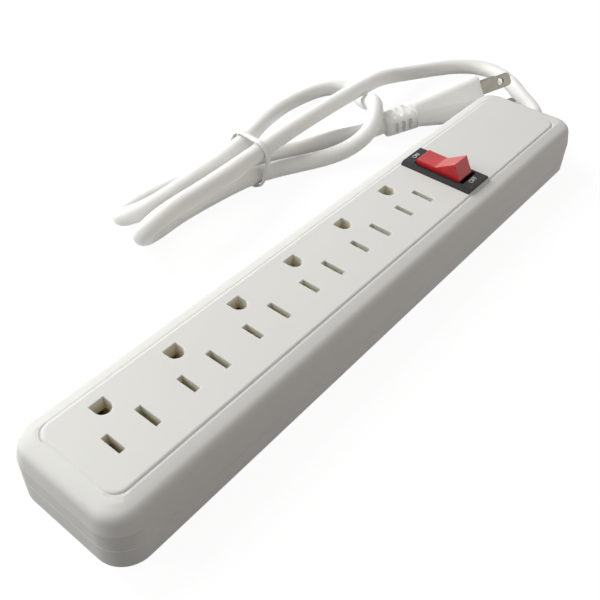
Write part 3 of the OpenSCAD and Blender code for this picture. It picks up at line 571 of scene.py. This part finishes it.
def shape_base(bm):
    """Near lines, and a slight lip where the base meets the top."""
    raise_near_lines(bm)
    for v in bm.verts:
        x, y, z = v.co / MM
        inside, way = outward(x, y, CASE_HALF_L, CASE_HALF_W, CASE_R)
        if inside < LIP_IN and z > LIP_FROM_Z:
            v.co += way * PARTING_LIP * MM


# The rocker: its pivot, tilt at rest, ridge, valley and the dish of each half, most of it taken out
PIVOT, TILT = mm(0, 0, 20), math.radians(15)
RIDGE_Y, RIDGE_Z, VALLEY_Z, DISH, DISH_OUT, ON_FACE = 8.7, 8.6, 6.2, 0.4, 0.9, 0.05


def shape_rocker(bm):
    """Takes most of the dish out of the rocker's two halves, so that they meet in a clear valley."""
    turn_back = Matrix.Rotation(TILT, 4, "X") @ Matrix.Translation(-PIVOT)
    turn_there = turn_back.inverted()
    for v in bm.verts:
        p = turn_back @ v.co
        t = 1 - abs(p.y) / MM / RIDGE_Y
        dish = 4 * DISH * t * (1 - t)
        face_z = RIDGE_Z + (VALLEY_Z - RIDGE_Z) * t - dish
        if 0 <= t <= 1 and abs(p.z / MM - face_z) < ON_FACE:
            p.z += DISH_OUT * dish * MM
            v.co = turn_there @ p


place(polished("case_top", "top_housing", 0.3, shape_top, GROOVE_Z, BELT_Z, ROLL_Z),
      "case", CASE, "case", "top_housing")
place(polished("case_base", "base_cover", 0.2, shape_base), "case", CASE, "case", "base_cover")
place(polished("switch_frame", "switch_housing", 0.18), "case", BLACK, "switch_black", "switch_housing")
place(polished("rocker_button", "rocker", 0.25, shape_rocker, hollows=False, smooth_deg=18),
      "rocker", RED, "switch_red", "rocker")

for node, mat in (
        ("case_screws", STEEL), ("line_bus", BRASS), ("neutral_bus", BRASS), ("ground_bus", BRASS),
        ("rocker_plunger", INNER), ("plunger_spring", STEEL), ("contact_lever", BRASS),
        ("line_terminal", BRASS), ("load_terminal", BRASS), ("line_wire", WIRE_BLACK),
        ("load_wire", WIRE_BLACK), ("neutral_wire", WIRE_WHITE), ("ground_wire", WIRE_GREEN)):
    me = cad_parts[node].data
    me.materials.clear()
    me.materials.append(mat)


# Words on the switch frame

WORD_Z, WORD_DEPTH = 24.21, 0.02


def word(name, text, x, y, size):
    """Flat painted word on the switch frame, read from the near end."""
    font = bpy.data.curves.new(name, "FONT")
    font.body = text
    font.size = size * MM
    font.extrude = WORD_DEPTH * MM
    font.align_x = "CENTER"
    font.align_y = "CENTER"
    obj = bpy.data.objects.new(name, font)
    obj.matrix_world = Matrix.Translation(mm(x, y, WORD_Z))
    return place(obj, "case", PAINT, "case")


word("word_on", "ON", 58.3, 13.7, 2.5)
word("word_off", "OFF", 58.4, -12.9, 2.7)


# Floor, background and light

FLOOR_HALF = 6
# What the light meets: a dark card in front of the first of these Y and a pale one past the second
CARD_FROM_Y, CARD_TO_Y = 0.028, 0.055
DARK_CARD, PALE_CARD = (0.12, 0.11, 0.1), (0.5, 0.485, 0.465)
# What the camera sees: white, less where the shadow takes the rest away
SHOWN_WHITE, SHADOW_SHARE = 0.93, 0.1


def seen_directly(nt):
    """1 for rays from the camera, and for those that metal and glass send on."""
    path = nt.nodes.new("ShaderNodeLightPath")
    seen = path.outputs["Is Camera Ray"]
    for kind in ("Is Glossy Ray", "Is Transmission Ray"):
        either = nt.nodes.new("ShaderNodeMath")
        either.operation = "MAXIMUM"
        nt.links.new(seen, either.inputs[0])
        nt.links.new(path.outputs[kind], either.inputs[1])
        seen = either.outputs[0]
    return seen


def floor_material():
    """White floor with a faint shadow to the camera, and two cards to the light."""
    mat = bpy.data.materials.new("floor")
    mat.use_nodes = True
    nt = mat.node_tree
    nt.nodes.clear()
    out = nt.nodes.new("ShaderNodeOutputMaterial")
    card = nt.nodes.new("ShaderNodeBsdfDiffuse")
    coords = nt.nodes.new("ShaderNodeTexCoord")
    split = nt.nodes.new("ShaderNodeSeparateXYZ")
    nt.links.new(coords.outputs["Object"], split.inputs[0])
    behind = spread(nt, split.outputs["Y"], 0, 1, CARD_FROM_Y, CARD_TO_Y)
    nt.links.new(tint(nt, behind, DARK_CARD, PALE_CARD), card.inputs["Color"])
    white = nt.nodes.new("ShaderNodeEmission")
    white.inputs["Color"].default_value = (1, 1, 1, 1)
    white.inputs["Strength"].default_value = SHOWN_WHITE
    pale = nt.nodes.new("ShaderNodeBsdfDiffuse")
    pale.inputs["Color"].default_value = (SHADOW_SHARE, SHADOW_SHARE, SHADOW_SHARE, 1)
    shown = nt.nodes.new("ShaderNodeAddShader")
    nt.links.new(white.outputs[0], shown.inputs[0])
    nt.links.new(pale.outputs[0], shown.inputs[1])
    mix = nt.nodes.new("ShaderNodeMixShader")
    nt.links.new(seen_directly(nt), mix.inputs[0])
    nt.links.new(card.outputs[0], mix.inputs[1])
    nt.links.new(shown.outputs[0], mix.inputs[2])
    nt.links.new(mix.outputs[0], out.inputs["Surface"])
    return mat


bm = bmesh.new()
bmesh.ops.create_grid(bm, x_segments=8, y_segments=8, size=FLOOR_HALF)
floor = from_bmesh("floor", bm)
scene.collection.objects.link(floor)
floor.data.materials.append(floor_material())


def studio_world():
    """Dim warm surroundings that show as white behind the part."""
    world = bpy.data.worlds.new("studio")
    world.use_nodes = True
    nt = world.node_tree
    dim = nt.nodes["Background"]
    dim.inputs["Color"].default_value = (1, 0.965, 0.93, 1)
    dim.inputs["Strength"].default_value = 0.03
    white = nt.nodes.new("ShaderNodeBackground")
    white.inputs["Color"].default_value = (1, 1, 1, 1)
    white.inputs["Strength"].default_value = 1
    mix = nt.nodes.new("ShaderNodeMixShader")
    nt.links.new(seen_directly(nt), mix.inputs[0])
    nt.links.new(dim.outputs[0], mix.inputs[1])
    nt.links.new(white.outputs[0], mix.inputs[2])
    nt.links.new(mix.outputs[0], nt.nodes["World Output"].inputs["Surface"])
    return world


scene.world = studio_world()


LAMP_SIZE, LAMP_AIM = 0.5, Vector((0, 0.02, 0))


def softbox(name, azimuth, elevation, power, colour):
    """Square area light a metre from the part, aimed at its middle."""
    data = bpy.data.lights.new(name, "AREA")
    data.shape = "SQUARE"
    data.size = LAMP_SIZE
    data.energy = power
    data.color = colour
    obj = bpy.data.objects.new(name, data)
    scene.collection.objects.link(obj)
    e, a = math.radians(elevation), math.radians(azimuth)
    away = Vector((math.cos(e) * math.cos(a), math.cos(e) * math.sin(a), math.sin(e)))
    facing = away.to_track_quat("Z", "Y").to_matrix().to_4x4()
    obj.matrix_world = Matrix.Translation(LAMP_AIM + away) @ facing


# Azimuth is counted from the cord end towards the earth holes
COOL, WARM = (1, 1, 0.985), (1, 0.95, 0.9)
softbox("key_near", 135, 20, 3.3, COOL)
softbox("key_back", 90, 45, 7.0, COOL)
softbox("low_back", 90, 20, 0.4, COOL)
softbox("low_far", 45, 20, 1.2, COOL)
softbox("top_near", 135, 45, 1.6, COOL)
softbox("top_end", 180, 45, 1.3, COOL)
softbox("front_low", 270, 20, 1.25, WARM)
softbox("front_high", 270, 45, 0.9, WARM)
softbox("fill_end", 315, 20, 0.8, WARM)
